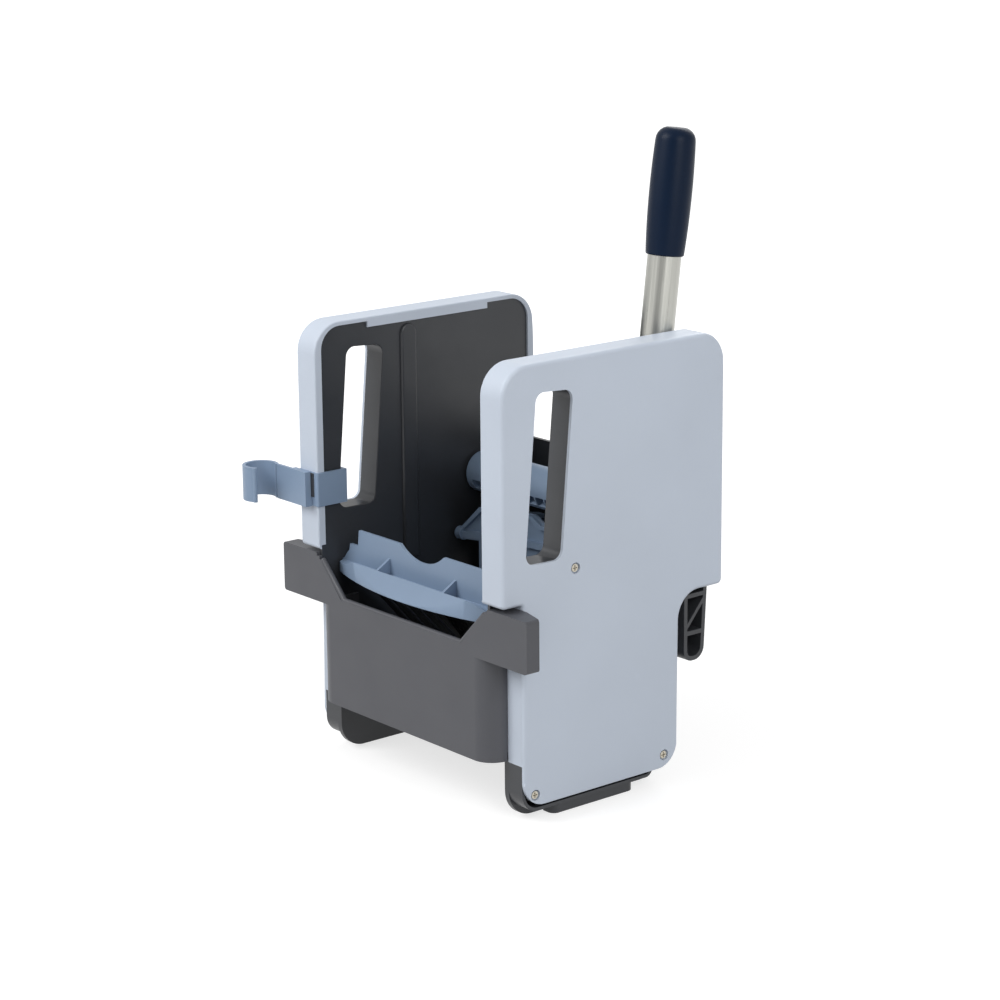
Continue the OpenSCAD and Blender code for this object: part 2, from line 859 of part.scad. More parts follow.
// Fixed front plate of the mop well
module nose_block(d) {
    intersection() {
        translate([0, nose_y + nose_round, 0])
            cylinder(r = nose_round - d, h = tall, $fn = big_fn);
        side_plate(-nose_reach, 2 * nose_reach)
            polygon([
                [nose_y + d * 1.1 - 0.4, nose_z - d],
                [ridge_y + d * 0.1, ridge_z - d * 1.7],
                [trough_y, trough_z - d * 1.2],
                [wall_y + 1.5 + d, trough_z + 2.5 - d * 1.2],
                [wall_y + 1.5 + d, nose_z - d]
            ]);
    }
}

module counter_plate() {
    color(BLUE) {
        difference() {
            nose_block(0);
            nose_block(counter_t);
            both_sides()
                front_plate(nose_y - 5, 23)
                    polygon([
                        [nose_side, ridge_z + 0.5],
                        [nose_reach + 1, nose_z + 4],
                        [nose_reach + 1, tall],
                        [nose_side, tall]
                    ]);
        }
        difference() {
            front_plate(wall_y, counter_t)
                union() {
                    polygon([
                        [-wall_reach - 4, trough_z - 2],
                        [wall_reach + 4, trough_z - 2],
                        [wall_reach, wall_top],
                        [-wall_reach, wall_top]
                    ]);
                    translate([-nose_reach + 3, trough_z - 2])
                        square([2 * nose_reach - 6, 4]);
                    translate([-nose_reach + 3, trough_z - 8])
                        square([2 * nose_reach - 6, 7]);
                    both_sides_flat()
                        polygon([
                            [wall_reach - 5, trough_z - 1],
                            [nose_reach - 0.6, trough_z - 1],
                            [nose_reach - 0.6, trough_z + 1.5],
                            [nose_reach - 2, trough_z + 4.5],
                            [nose_reach - 5.5, trough_z + 9],
                            [nose_reach - 9, trough_z + 12.5],
                            [nose_reach - 10.4, trough_z + 18.5],
                            [wall_reach - 5, trough_z + 18.5]
                        ]);
                }
            translate([0, wall_y - 5, wall_top - notch_h + notch_round])
                rotate([-90, 0, 0])
                    cylinder(r = notch_round, h = 20);
        }
        both_sides() {
            side_plate(gusset_x - 1.5, 3)
                polygon([
                    [wall_y + 1, wall_top - 16],
                    [ridge_y + 0.6, ridge_z - 0.3],
                    [trough_y - 1, trough_z - 0.8],
                    [wall_y + 1, trough_z + 0.8]
                ]);
            difference() {
                side_plate(shell_x - screw_block, screw_block)
                    polygon([
                        [wall_y + 0.6, frame_spots[2][1] - 8],
                        [wall_y + 13, frame_spots[2][1] - 8],
                        [wall_y + 15, frame_spots[2][1] - 6],
                        [wall_y + 15, frame_spots[2][1] + 6],
                        [wall_y + 13, frame_spots[2][1] + 8],
                        [wall_y + 0.6, frame_spots[2][1] + 8]
                    ]);
                frame_hole(2);
            }
        }
    }
}

// Ring of the pole clip, seen from above
module ring_shape() {
    difference() {
        circle(r = ring_r + clip_t);
        circle(r = ring_r);
        polygon([
            [0, 0],
            60 * [cos(mouth_low), sin(mouth_low)],
            [60, 0],
            60 * [cos(mouth_high), sin(mouth_high)]
        ]);
    }
    rotate(mouth_low)
        translate([ring_r + clip_t / 2 + 0.7, 0])
            circle(r = clip_t / 2 + 0.5);
}

module pole_clip() {
    color(BLUE)
        translate([0, 0, clip_z - clip_h / 2])
            difference() {
                linear_extrude(clip_h) {
                    translate([ring_x, ring_y])
                        ring_shape();
                    difference() {
                        translate([ring_x + 6, arm_y])
                            square([-clip_end - ring_x - 6.5, clip_t]);
                        translate([ring_x, ring_y])
                            circle(r = ring_r + clip_t / 2);
                    }
                    translate([-clip_end - clip_head, arm_y + 0.5])
                        square([clip_head, front_y - clamp_web - arm_y - 0.5]);
                    translate([-clip_end - 6, arm_y - 0.4])
                        square([6, 3]);
                }
                clip_holes();
            }
}

// Holes for the screws that join the clip to its clamp
module clip_holes() {
    for (z = [8, clip_h - 8])
        translate([-clip_end - 9, arm_y + 3, z])
            rotate([-90, 0, 0])
                cylinder(r = 1.8, h = 20);
}

// Clamp round the far panel's front bar, hooked into the hand slot
module clip_clamp() {
    web_y = front_y - clamp_web;
    color(BLUE)
        difference() {
            translate([0, 0, clip_z - clip_h / 2 + 0.5])
                linear_extrude(clip_h - 1) {
                    translate([-clip_end - clip_head + 4, web_y])
                        square([clip_end + clip_head - 4 - in_x + clamp_t, clamp_web]);
                    translate([-in_x, web_y])
                        square([clamp_t, clamp_hook_y + clamp_hook_t - web_y]);
                    translate([-half_w + 12, clamp_hook_y])
                        square([half_w - 12 - in_x + clamp_t, clamp_hook_t]);
                }
            translate([0, 0, clip_z - clip_h / 2])
                clip_holes();
        }
}

// Rubber stop in the slot between the clip's end and the clamp's corner
module clip_stop() {
    color(DARK)
        translate([-clip_end, front_y - clamp_web - 1, clip_z - clip_h / 2 + 9])
            cube([4, 1, clip_h - 10]);
}

module clip_screws() {
    color(STEEL)
        for (z = [clip_z - clip_h / 2 + 8, clip_z + clip_h / 2 - 8])
            translate([-clip_end - 9, arm_y + 3.4, z])
                rotate([-90, 0, 0])
                    cylinder(r = 1.8, h = front_y - arm_y - 3.6);
}

// Crank arm, drawn in [y, z] around the drum's axis
module arm_shape() {
    rotate(crank_back) {
        polygon([[-17, 0], [17, 0], [arm_boss, -crank_r], [-arm_boss, -crank_r]]);
        translate([0, -crank_r])
            circle(r = arm_boss);
    }
}

module drum() {
    color(BLUE)
        difference() {
            union() {
                cross_bar(-drum_end, axis_y, axis_z, drum_r, drum_end + socket_in);
                for (x = [-arm_in - arm_t, arm_in])
                    side_plate(x, arm_t)
                        translate([axis_y, axis_z])
                            arm_shape();
            }
            cross_bar(-drum_end - 1, axis_y, axis_z, axle_r, 2 * drum_end);
            for (x = [-arm_in - arm_t - 1, arm_in - 1])
                cross_bar(x, pin_y, pin_z, crank_pin_r, arm_t + 2);
            translate([0, axis_y, axis_z])
                rotate([pocket_turn, 0, 0])
                    for (k = [0 : pockets - 1])
                        translate([pocket_w - 3 - drum_end + k * (pocket_w + 2), -drum_r - 1, -pocket_h / 2])
                            cube([pocket_w, drum_r + 1 - axle_r - 4.5, pocket_h]);
        }
}

pin_y = axis_y + crank_r * sin(crank_back);
pin_z = axis_z - crank_r * cos(crank_back);

module crank_pins() {
    color(STEEL)
        for (x = [-arm_in - arm_t - ear_t - 2, arm_in + 0.5])
            cross_bar(x, pin_y, pin_z, crank_pin_r, arm_t + ear_t + 1.5);
}

module axle() {
    color(STEEL)
        cross_bar(-plate_x + 1.5, axis_y, axis_z, axle_r, plate_x - 1.5 + shell_x + bush_len);
}

// Bearing bush of the lever's side
module axle_bush() {
    color(BRONZE)
        difference() {
            union() {
                cross_bar(bush_face, axis_y, axis_z, 12, bush_flange);
                cross_bar(bush_face, axis_y, axis_z, bush_r, bush_flange + bush_len);
            }
            cross_bar(bush_face - 1, axis_y, axis_z, axle_r + running, 20);
        }
}

module thrust_washers() {
    color(STEEL)
        both_sides()
            difference() {
                cross_bar(drum_end, axis_y, axis_z, 11, washer_t);
                cross_bar(drum_end - 1, axis_y, axis_z, axle_r, 4);
            }
}

// Return spring round the axle's end, inside the far cover
module return_spring() {
    color(STEEL) {
        difference() {
            cross_bar(-spring_in - spring_len, axis_y, axis_z, axle_r + 3.4, spring_len);
            cross_bar(-spring_in - spring_len - 1, axis_y, axis_z, axle_r + 0.5, spring_len + 2);
        }
        translate([-spring_in - 2, axis_y + axle_r + 1.6, axis_z - 18])
            cylinder(r = 0.9, h = 18);
    }
}

// Frame of the lever: its length runs along +Z
module along_lever() {
    translate([lever_x, axis_y, axis_z])
        rotate([-lever_lean, 0, 0])
            translate([0, lever_offset, 0])
                children();
}

module lever_socket() {
    color(BLUE)
        difference() {
            union() {
                cross_bar(socket_in, axis_y, axis_z, hub_r, drum_end - socket_in);
                along_lever()
                    cylinder(r = tube_r + socket_wall, h = socket_len);
            }
            cross_bar(socket_in - 1, axis_y, axis_z, axle_r, 60);
            along_lever()
                translate([0, 0, tube_foot])
                    cylinder(r = tube_r, h = 200);
            along_lever()
                translate([0, 0, bolt_at])
                    rotate([90, 0, 0])
                        cylinder(r = bolt_r, h = 60, center = true);
        }
}

module lever_tube() {
    color(STEEL)
        along_lever()
            difference() {
                translate([0, 0, tube_foot])
                    cylinder(r = tube_r, h = grip_start + grip_len - 14 - tube_foot);
                translate([0, 0, tube_foot - 1])
                    cylinder(r = tube_r - tube_wall, h = 500);
                translate([0, 0, bolt_at])
                    rotate([90, 0, 0])
                        cylinder(r = bolt_r, h = 60, center = true);
            }
}

module socket_bolt() {
    color(STEEL)
        along_lever()
            translate([0, 0, bolt_at])
                rotate([90, 0, 0]) {
                    translate([0, 0, -tube_r - socket_wall - 7])
                        cylinder(r = bolt_r, h = 2 * (tube_r + socket_wall) + 7);
                    translate([0, 0, tube_r + socket_wall])
                        cylinder(r = 5.5, h = 4, $fn = 6);
                }
}

module socket_nut() {
    color(STEEL)
        along_lever()
            translate([0, 0, bolt_at])
                rotate([90, 0, 0])
                    translate([0, 0, -tube_r - socket_wall - 5])
                        difference() {
                            cylinder(r = 5.5, h = 5, $fn = 6);
                            translate([0, 0, -1])
                                cylinder(r = bolt_r, h = 7);
                        }
}

// Radius of the grip at height z above its lower end
function grip_radius(z) = grip_end_r + (grip_r - grip_end_r) * (1 - pow(2 * z / grip_len - 1, 2));

module lever_grip() {
    dome = 12;
    color(NAVY)
        along_lever()
            translate([0, 0, grip_start])
                rotate_extrude()
                    polygon(concat(
                        [[tube_r, 0], [grip_end_r - 1, 0], [grip_end_r, 1]],
                        [for (i = [1 : 12]) [grip_radius(i * (grip_len - dome) / 12), i * (grip_len - dome) / 12]],
                        [for (a = [15 : 15 : 75])
                            [grip_radius(grip_len - dome) - dome * (1 - cos(a)), grip_len - dome + dome * sin(a)]],
                        [[0, grip_len], [0, grip_len - 14], [tube_r, grip_len - 14]]
                    ));
}

// Middle of the crank pin in the press plate's own frame, after the lever has turned by a
function pin_at(a) = [
    axis_y + crank_r * sin(crank_back - a) - pivot_y,
    axis_z - crank_r * cos(crank_back - a) - pivot_z
];
function cam_point(a) = [
    pin_at(a)[0] * cos(a * plate_ratio) + pin_at(a)[1] * sin(a * plate_ratio) + pivot_y,
    pin_at(a)[1] * cos(a * plate_ratio) - pin_at(a)[0] * sin(a * plate_ratio) + pivot_z
];
function cam_normal(a) = unit([
    cam_point(a - 0.5)[1] - cam_point(a + 0.5)[1],
    cam_point(a + 0.5)[0] - cam_point(a - 0.5)[0]
]);

// The slot that the crank pin runs in, with half width w
module cam_area(w) {
    steps = 22;
    polygon(concat(
        [for (i = [0 : steps]) cam_point(lever_turn * i / steps) - w * cam_normal(lever_turn * i / steps)],
        [for (i = [steps : -1 : 0]) cam_point(lever_turn * i / steps) + w * cam_normal(lever_turn * i / steps)]
    ));
    translate(cam_point(0))
        circle(r = w);
    translate(cam_point(lever_turn))
        circle(r = w);
}

// Ear that carries the slot, drawn in [y, z]
module ear_shape() {
    wall = crank_pin_r + slot_play + ear_wall;
    low = cam_point(lever_turn * 0.45);
    far = cam_point(lever_turn);
    near = cam_point(0);
    translate(far)
        circle(r = wall);
    polygon([
        [pivot_y - 4.2, pivot_z + 84],
        [pivot_y + 13, low[1] - wall],
        [low[0] + 3, low[1] - wall],
        [far[0] + wall * 0.5, far[1] - wall * 0.866],
        far,
        [far[0] + wall * 0.2, far[1] + wall * 0.98],
        [near[0], near[1] + wall + 1],
        [pivot_y - 4.2, plate_top - 7]
    ]);
}

// Right half of the press plate's front view, moved in by d, from the bottom up
function plate_half(d, k) = [
    [(plate_reach - 10 - d) * k, pivot_z + 8, 0],
    [(plate_reach - 8 - d) * k, pivot_z + 22 - d, 0],
    [(low_reach - d) * k, pivot_z + 34 - d, 0],
    [(low_reach - d) * k, rib_z - 5 + d, 0],
    [(plate_reach - d) * k, rib_z - 5 + d, 0],
    [(plate_reach - d) * k, rib_z + 2, 0],
    [(plate_reach - 21.7 - d * 0.6) * k, plate_top - d, 0],
    [(34 + d) * k, plate_top - d, 5 - d / 2],
    [(22 + d) * k, plate_top - 8 - d, 5 + d / 2]
];

function plate_outline(d) = concat(plate_half(d, 1), reversed(plate_half(d, -1)));

// Upright curved sheet, from radius a to radius b
module bowed(a, b) {
    translate([0, web_y - plate_round, 0])
        difference() {
            cylinder(r = b, h = tall, $fn = big_fn);
            translate([0, 0, -1])
                cylinder(r = a, h = tall + 2, $fn = big_fn);
        }
}

module press_plate() {
    color(BLUE)
        difference() {
            union() {
                intersection() {
                    bowed(plate_round - web_t, plate_round);
                    front_plate(20, 80)
                        round_poly(plate_outline(0));
                }
                intersection() {
                    bowed(plate_round - rim_t, plate_round - 1.4);
                    front_plate(21, 78)
                        difference() {
                            round_poly(plate_outline(0.2));
                            round_poly(plate_outline(rim_w));
                        }
                }
                intersection() {
                    bowed(plate_round - rim_t - 1, plate_round - 1.2);
                    translate([-plate_reach + 1, 20, rib_z - 3])
                        cube([2 * plate_reach - 2, 80, 6]);
                }
                intersection() {
                    translate([0, web_y - plate_round, 0])
                        cylinder(r = plate_round - 0.6, h = tall, $fn = big_fn);
                    translate([-plate_reach + 10.5, pivot_y - 4, pivot_z])
                        cube([2 * plate_reach - 20, 30, 14]);
                }
                cross_bar(-plate_reach, pivot_y, pivot_z, barrel_r, 2 * plate_reach);
                both_sides() {
                    cross_bar(plate_reach - 6, boss_y, rib_z, boss_r, 8);
                    side_plate(ear_in, ear_t)
                        ear_shape();
                }
            }
            both_sides() {
                side_plate(ear_in - 1, ear_t + 2)
                    cam_area(crank_pin_r + slot_play);
                cross_bar(plate_reach - pivot_depth, pivot_y, pivot_z, pivot_r + running, pivot_depth + 1);
            }
        }
}

module press_pivots() {
    color(STEEL)
        both_sides()
            cross_bar(plate_reach - pivot_depth + 0.5, pivot_y, pivot_z, pivot_r,
                shell_x + bush_len - plate_reach + pivot_depth - 0.5);
}

module outer_cover_right() {
    outer_cover();
}

module outer_cover_left() {
    mirror([1, 0, 0])
        outer_cover();
}

module inner_shell_right() {
    inner_shell();
}

module inner_shell_left() {
    mirror([1, 0, 0])
        inner_shell();
}

module foot_pad_right() {
    foot_pad();
}

module foot_pad_left() {
    mirror([1, 0, 0])
        foot_pad();
}

module cover_screws_right() {
    cover_screws();
}

module cover_screws_left() {
    mirror([1, 0, 0])
        cover_screws();
}

module frame_screws_right() {
    frame_screws();
}

module frame_screws_left() {
    mirror([1, 0, 0])
        frame_screws();
}

module axle_bush_right() {
    axle_bush();
}

module axle_bush_left() {
    mirror([1, 0, 0])
        axle_bush();
}

outer_cover_left();
outer_cover_right();
inner_shell_left();
inner_shell_right();
foot_pad_left();
foot_pad_right();
front_apron();
rear_wall();
strainer_floor();
counter_plate();
cover_screws_left();
cover_screws_right();
frame_screws_left();
frame_screws_right();
clip_clamp();
pole_clip();
clip_screws();
clip_stop();
drum();
axle();
axle_bush_left();
axle_bush_right();
thrust_washers();
return_spring();
lever_socket();
socket_bolt();
socket_nut();
lever_tube();
lever_grip();
crank_pins();
press_plate();
press_pivots();
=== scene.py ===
"""Looks of a lever press for flat mops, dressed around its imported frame."""
import logging
import math
from abc import ABC, abstractmethod
from collections.abc import Callable, Iterable
from dataclasses import dataclass, field
from enum import Enum

import bmesh
import bpy
from mathutils import Matrix, Vector


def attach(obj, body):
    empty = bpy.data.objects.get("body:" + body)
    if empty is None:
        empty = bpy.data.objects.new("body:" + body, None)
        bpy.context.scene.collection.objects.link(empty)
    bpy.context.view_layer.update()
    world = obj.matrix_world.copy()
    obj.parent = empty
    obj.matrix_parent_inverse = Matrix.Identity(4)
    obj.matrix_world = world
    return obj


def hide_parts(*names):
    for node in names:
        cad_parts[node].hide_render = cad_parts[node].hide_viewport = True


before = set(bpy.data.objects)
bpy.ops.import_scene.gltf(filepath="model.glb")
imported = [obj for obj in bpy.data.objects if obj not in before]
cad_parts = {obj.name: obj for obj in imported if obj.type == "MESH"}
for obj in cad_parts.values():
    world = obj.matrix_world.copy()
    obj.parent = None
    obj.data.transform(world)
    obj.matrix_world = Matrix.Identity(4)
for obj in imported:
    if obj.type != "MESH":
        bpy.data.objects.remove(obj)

LOG = logging.getLogger("lever_press")
MM = 0.001
Socket = bpy.types.NodeSocket
Pair = tuple[float, float]
Triple = tuple[float, float, float]
Shade = tuple[int, int, int]
Colour = tuple[float, float, float, float]
Rule = Callable[[Vector], bool]
EVERYWHERE = (-math.inf, math.inf)


class Slot(Enum):
    """Material slots of the record."""

    COVER = "cover"
    SHELL = "dark_shell"
    APRON = "apron"
    BLUE = "blue_parts"
    GRIP = "grip"
    TUBE = "tube"
    BEARING = "bearing"
    SPRING = "spring"
    STEEL = "steel"


class Body(Enum):
    """Rigid bodies of the frame."""

    FRAME = "frame"
    LEVER = "lever"
    PRESS = "press"


class Side(Enum):
    """The two side panels, by the sign of their X."""

    LEFT = -1
    RIGHT = 1


def linear(colour: Shade) -> Colour:
    """Turns a display colour into the linear colour that a shader reads.

    Args:
        colour: Red, green and blue from 0 to 255.

    Returns:
        The linear colour with an alpha of 1.
    """
    parts = [c / 255 for c in colour]
    out = [c / 12.92 if c <= 0.04045 else ((c + 0.055) / 1.055) ** 2.4 for c in parts]
    return out[0], out[1], out[2], 1.0


def tinted(colour: Colour, factor: float, lift: float = 0.0) -> Colour:
    """Makes a linear colour paler or deeper.

    Args:
        colour: The linear colour.
        factor: What its channels are multiplied by.
        lift: What is then added to them.

    Returns:
        The new colour, with the same alpha.
    """
    red, green, blue = (min(1.0, c * factor + lift) for c in colour[:3])
    return red, green, blue, colour[3]


def new_material(name: str) -> bpy.types.Material:
    """Makes a material that uses nodes.

    Args:
        name: Its name.

    Returns:
        The material.
    """
    material = bpy.data.materials.new(name)
    material.use_nodes = True
    return material


class NodeSketch:
    """Short way to lay out a material's or the world's nodes."""

    def __init__(self, tree: bpy.types.NodeTree, output: str = "ShaderNodeOutputMaterial") -> None:
        """Empties a node tree and gives it its output.

        Args:
            tree: The node tree.
            output: Blender's name of the output node's type.
        """
        self.tree = tree
        self.tree.nodes.clear()
        self.output = self.add(output)

    def add(self, kind: str, **values: object) -> bpy.types.Node:
        """Adds a node.

        Args:
            kind: Blender's name of the node's type.
            **values: Its properties.

        Returns:
            The node.
        """
        node = self.tree.nodes.new(kind)
        for key, value in values.items():
            setattr(node, key, value)
        return node

    def link(self, source: Socket, target: Socket) -> None:
        """Joins two sockets."""
        self.tree.links.new(source, target)

    def noise(self, vector: Socket, scale: float, detail: float = 2.0) -> Socket:
        """Adds a noise texture.

        Args:
            vector: Coordinates that it reads.
            scale: Cells in a metre.
            detail: Levels of finer noise.

        Returns:
            Its factor socket.
        """
        node = self.add("ShaderNodeTexNoise")
        node.inputs["Scale"].default_value = scale
        node.inputs["Detail"].default_value = detail
        self.link(vector, node.inputs["Vector"])
        return node.outputs["Fac"]

    def spread(self, value: Socket, low: Pair, high: Pair) -> Socket:
        """Maps a value from one range onto another.

        Args:
            value: The value's socket.
            low: Input and output at the lower end.
            high: Input and output at the upper end.

        Returns:
            The mapped value's socket.
        """
        node = self.add("ShaderNodeMapRange")
        ends = {"From Min": low[0], "To Min": low[1], "From Max": high[0], "To Max": high[1]}
        for key, number in ends.items():
            node.inputs[key].default_value = number
        self.link(value, node.inputs["Value"])
        return node.outputs["Result"]

    def mix(self, factor: Socket, a: object, b: object) -> Socket:
        """Mixes two colours.

        Args:
            factor: Socket that picks b over a.
            a: First colour, or its socket.
            b: Second colour, or its socket.

        Returns:
            The mixed colour's socket.
        """
        node = self.add("ShaderNodeMix", data_type="RGBA")
        self.link(factor, node.inputs["Factor"])
        for key, colour in (("A", a), ("B", b)):
            socket = next(s for s in node.inputs if s.name == key and s.type == "RGBA")
            if isinstance(colour, Socket):
                self.link(colour, socket)
            else:
                socket.default_value = colour
        return next(s for s in node.outputs if s.type == "RGBA")

    def mapped(self, scale: Triple, turn: Triple = (0, 0, 0)) -> Socket:
        """Object coordinates, turned and stretched.

        Args:
            scale: Stretch along each axis.
            turn: Rotation in radians.

        Returns:
            The vector's socket.
        """
        place = self.add("ShaderNodeTexCoord")
        mapping = self.add("ShaderNodeMapping", vector_type="TEXTURE")
        mapping.inputs["Rotation"].default_value = turn
        mapping.inputs["Scale"].default_value = scale
        self.link(place.outputs["Object"], mapping.inputs["Vector"])
        return mapping.outputs["Vector"]

    def edges(self, radius: float) -> Socket:
        """Finds outer edges, for wear and for a painted highlight along them.

        Args:
            radius: How far from the edge the wear and the painted highlight reach, in metres.

        Returns:
            A socket that is 0 on open faces and rises to 1 on edges.
        """
        soft = self.add("ShaderNodeBevel", samples=4)
        soft.inputs["Radius"].default_value = radius
        hard = self.add("ShaderNodeNewGeometry")
        dot = self.add("ShaderNodeVectorMath", operation="DOT_PRODUCT")
        self.link(soft.outputs["Normal"], dot.inputs[0])
        self.link(hard.outputs["Normal"], dot.inputs[1])
        return self.spread(dot.outputs["Value"], (1.0, 0.0), (0.9, 1.0))

    def bump(self, height: Socket, strength: float, distance: float) -> Socket:
        """Adds relief from a height.

        Args:
            height: The height's socket.
            strength: How much of it shows.
            distance: Full height in metres.

        Returns:
            The normal's socket.
        """
        node = self.add("ShaderNodeBump")
        node.inputs["Strength"].default_value = strength
        node.inputs["Distance"].default_value = distance
        self.link(height, node.inputs["Height"])
        return node.outputs["Normal"]


@dataclass(frozen=True)
class MouldedPlastic:
    """Satin moulded plastic with a fine grain, faint flow clouds, handling marks and a painted
    highlight on its edges.
    """

    name: str
    colour: Shade
    roughness: float = 0.42
    gloss: float = 0.3
    grain: float = 0.45 * MM
    depth: float = 0.03 * MM
    cloud: float = 0.05
    scuff: float = 0.06
    edge_wear_and_highlight: float = 0.25
    edge_wear_and_highlight_reach: float = 0.8 * MM
    ior: float = 1.49
    cloud_cells: float = 7.0
    patch_cells: float = 26.0
    scuff_cells: float = 3.0
    scuff_stretch: Triple = (0.09, 0.012, 0.02)
    scuff_turn: Triple = (0.3, 0.5, 0.2)

    def build(self) -> bpy.types.Material:
        """Makes the material.

        Returns:
            The material.
        """
        material = new_material(self.name)
        sketch = NodeSketch(material.node_tree)
        shader = sketch.add("ShaderNodeBsdfPrincipled")
        sketch.link(shader.outputs["BSDF"], sketch.output.inputs["Surface"])
        shader.inputs["IOR"].default_value = self.ior
        shader.inputs["Specular IOR Level"].default_value = self.gloss
        even = sketch.mapped((1, 1, 1))
        base = linear(self.colour)
        pale = tinted(base, 1 + self.cloud)
        deep = tinted(base, 1 - self.cloud)
        # A paler colour, used for the scuffs and for the painted highlight on the edges.
        wear_and_highlight_colour = tinted(base, 1.25, 0.02)
        cloud = sketch.spread(sketch.noise(even, self.cloud_cells, 3.0), (0.35, 0.0), (0.65, 1.0))
        along = sketch.mapped(self.scuff_stretch, self.scuff_turn)
        scuffs = sketch.noise(along, self.scuff_cells, 5.0)
        rubbed = sketch.spread(scuffs, (0.6, 0.0), (0.75, self.scuff))
        colour = sketch.mix(rubbed, sketch.mix(cloud, deep, pale), wear_and_highlight_colour)
        patchy = sketch.noise(even, self.patch_cells, 4.0)
        # Edges get that paler colour: partly wear, partly a painted highlight where the light catches
        # them.
        edge = sketch.add("ShaderNodeMath", operation="MULTIPLY")
        uneven_wear_and_highlight = sketch.spread(patchy, (0.4, 0.3 * self.edge_wear_and_highlight), (0.62, self.edge_wear_and_highlight))
        sketch.link(sketch.edges(self.edge_wear_and_highlight_reach), edge.inputs[0])
        sketch.link(uneven_wear_and_highlight, edge.inputs[1])
        sketch.link(sketch.mix(edge.outputs[0], colour, wear_and_highlight_colour), shader.inputs["Base Color"])
        shine = sketch.spread(patchy, (0.3, self.roughness - 0.05), (0.7, self.roughness + 0.06))
        sketch.link(shine, shader.inputs["Roughness"])
        grain = sketch.noise(even, 1 / self.grain, 2.0)
        sketch.link(sketch.bump(grain, 0.35, self.depth), shader.inputs["Normal"])
        return material


@dataclass(frozen=True)
class DrawnAluminium:
    """Anodised tube with fine lines along its length."""

    name: str = "drawn_aluminium"
    colour: Shade = (182, 182, 176)
    roughness: float = 0.34
    lean: float = math.radians(-7.1)
    line_stretch: Triple = (0.0011, 0.0011, 0.09)
    relief: float = 0.02 * MM

    def build(self) -> bpy.types.Material:
        """Makes the material.

        Returns:
            The material.
        """
        material = new_material(self.name)
        sketch = NodeSketch(material.node_tree)
        shader = sketch.add("ShaderNodeBsdfPrincipled")
        sketch.link(shader.outputs["BSDF"], sketch.output.inputs["Surface"])
        shader.inputs["Metallic"].default_value = 1.0
        lines = sketch.noise(sketch.mapped(self.line_stretch, (self.lean, 0, 0)), 1.0, 3.0)
        base = linear(self.colour)
        streak = sketch.spread(lines, (0.35, 0.0), (0.65, 1.0))
        sketch.link(sketch.mix(streak, tinted(base, 0.86), base), shader.inputs["Base Color"])
        shine = sketch.spread(lines, (0.3, self.roughness - 0.07), (0.7, self.roughness + 0.09))
        sketch.link(shine, shader.inputs["Roughness"])
        sketch.link(sketch.bump(lines, 0.3, self.relief), shader.inputs["Normal"])
        return material


@dataclass(frozen=True)
class PlatedSteel:
    """Plated steel with a slightly warm, cloudy shine."""

    name: str
    colour: Shade = (196, 190, 176)
    roughness: float = 0.3
    cloud_cells: float = 160.0
    grain_cells: float = 1800.0
    relief: float = 0.02 * MM

    def build(self) -> bpy.types.Material:
        """Makes the material.

        Returns:
            The material.
        """
        material = new_material(self.name)
        sketch = NodeSketch(material.node_tree)
        shader = sketch.add("ShaderNodeBsdfPrincipled")
        sketch.link(shader.outputs["BSDF"], sketch.output.inputs["Surface"])
        shader.inputs["Metallic"].default_value = 1.0
        even = sketch.mapped((1, 1, 1))
        cloud = sketch.noise(even, self.cloud_cells, 4.0)
        base = linear(self.colour)
        patch = sketch.spread(cloud, (0.35, 0.0), (0.65, 1.0))
        sketch.link(sketch.mix(patch, tinted(base, 0.8), base), shader.inputs["Base Color"])
        shine = sketch.spread(cloud, (0.3, self.roughness - 0.08), (0.7, self.roughness + 0.12))
        sketch.link(shine, shader.inputs["Roughness"])
        grain = sketch.noise(even, self.grain_cells, 2.0)
        sketch.link(sketch.bump(grain, 0.2, self.relief), shader.inputs["Normal"])
        return material


@dataclass
class Palette:
    """Every finish of the press, made once."""

    cover: MouldedPlastic = MouldedPlastic("cover_plastic", (197, 206, 219), cloud=0.02, scuff=0.04)
    shell: MouldedPlastic = MouldedPlastic("shell_plastic", (52, 54, 58), 0.36, 0.5)
    apron: MouldedPlastic = MouldedPlastic("apron_plastic", (80, 81, 86), 0.42, 0.4)
    blue: MouldedPlastic = MouldedPlastic("blue_plastic", (129, 148, 172), 0.42, 0.35)
    grip: MouldedPlastic = MouldedPlastic("grip_plastic", (6, 24, 46), 0.4, 0.14, scuff=0.03, edge_wear_and_highlight=0.1)
    bearing: MouldedPlastic = MouldedPlastic("bearing_plastic", (205, 200, 185), 0.5)
    tube: DrawnAluminium = DrawnAluminium()
    steel: PlatedSteel = PlatedSteel("plated_steel")
    spring: PlatedSteel = PlatedSteel("spring_wire", (150, 150, 150), 0.35)
    made: dict[Slot, bpy.types.Material] = field(default_factory=dict)

    def build(self) -> None:
        """Makes the materials, one for each slot."""
        finishes = {
            Slot.COVER: self.cover,
            Slot.SHELL: self.shell,
            Slot.APRON: self.apron,
            Slot.BLUE: self.blue,
            Slot.GRIP: self.grip,
            Slot.TUBE: self.tube,
            Slot.BEARING: self.bearing,
            Slot.SPRING: self.spring,
            Slot.STEEL: self.steel,
        }
        for slot, finish in finishes.items():
            self.made[slot] = finish.build()

    def dress(self, piece: bpy.types.Object, slot: Slot) -> None:
        """Puts a finish on every material slot of a piece.

        Args:
            piece: The piece or CAD node.
            slot: Which finish it gets.
        """
        if not piece.data.materials:
            piece.data.materials.append(self.made[slot])
        for place in piece.material_slots:
            place.link = "OBJECT" if piece.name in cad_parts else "DATA"
            place.material = self.made[slot]


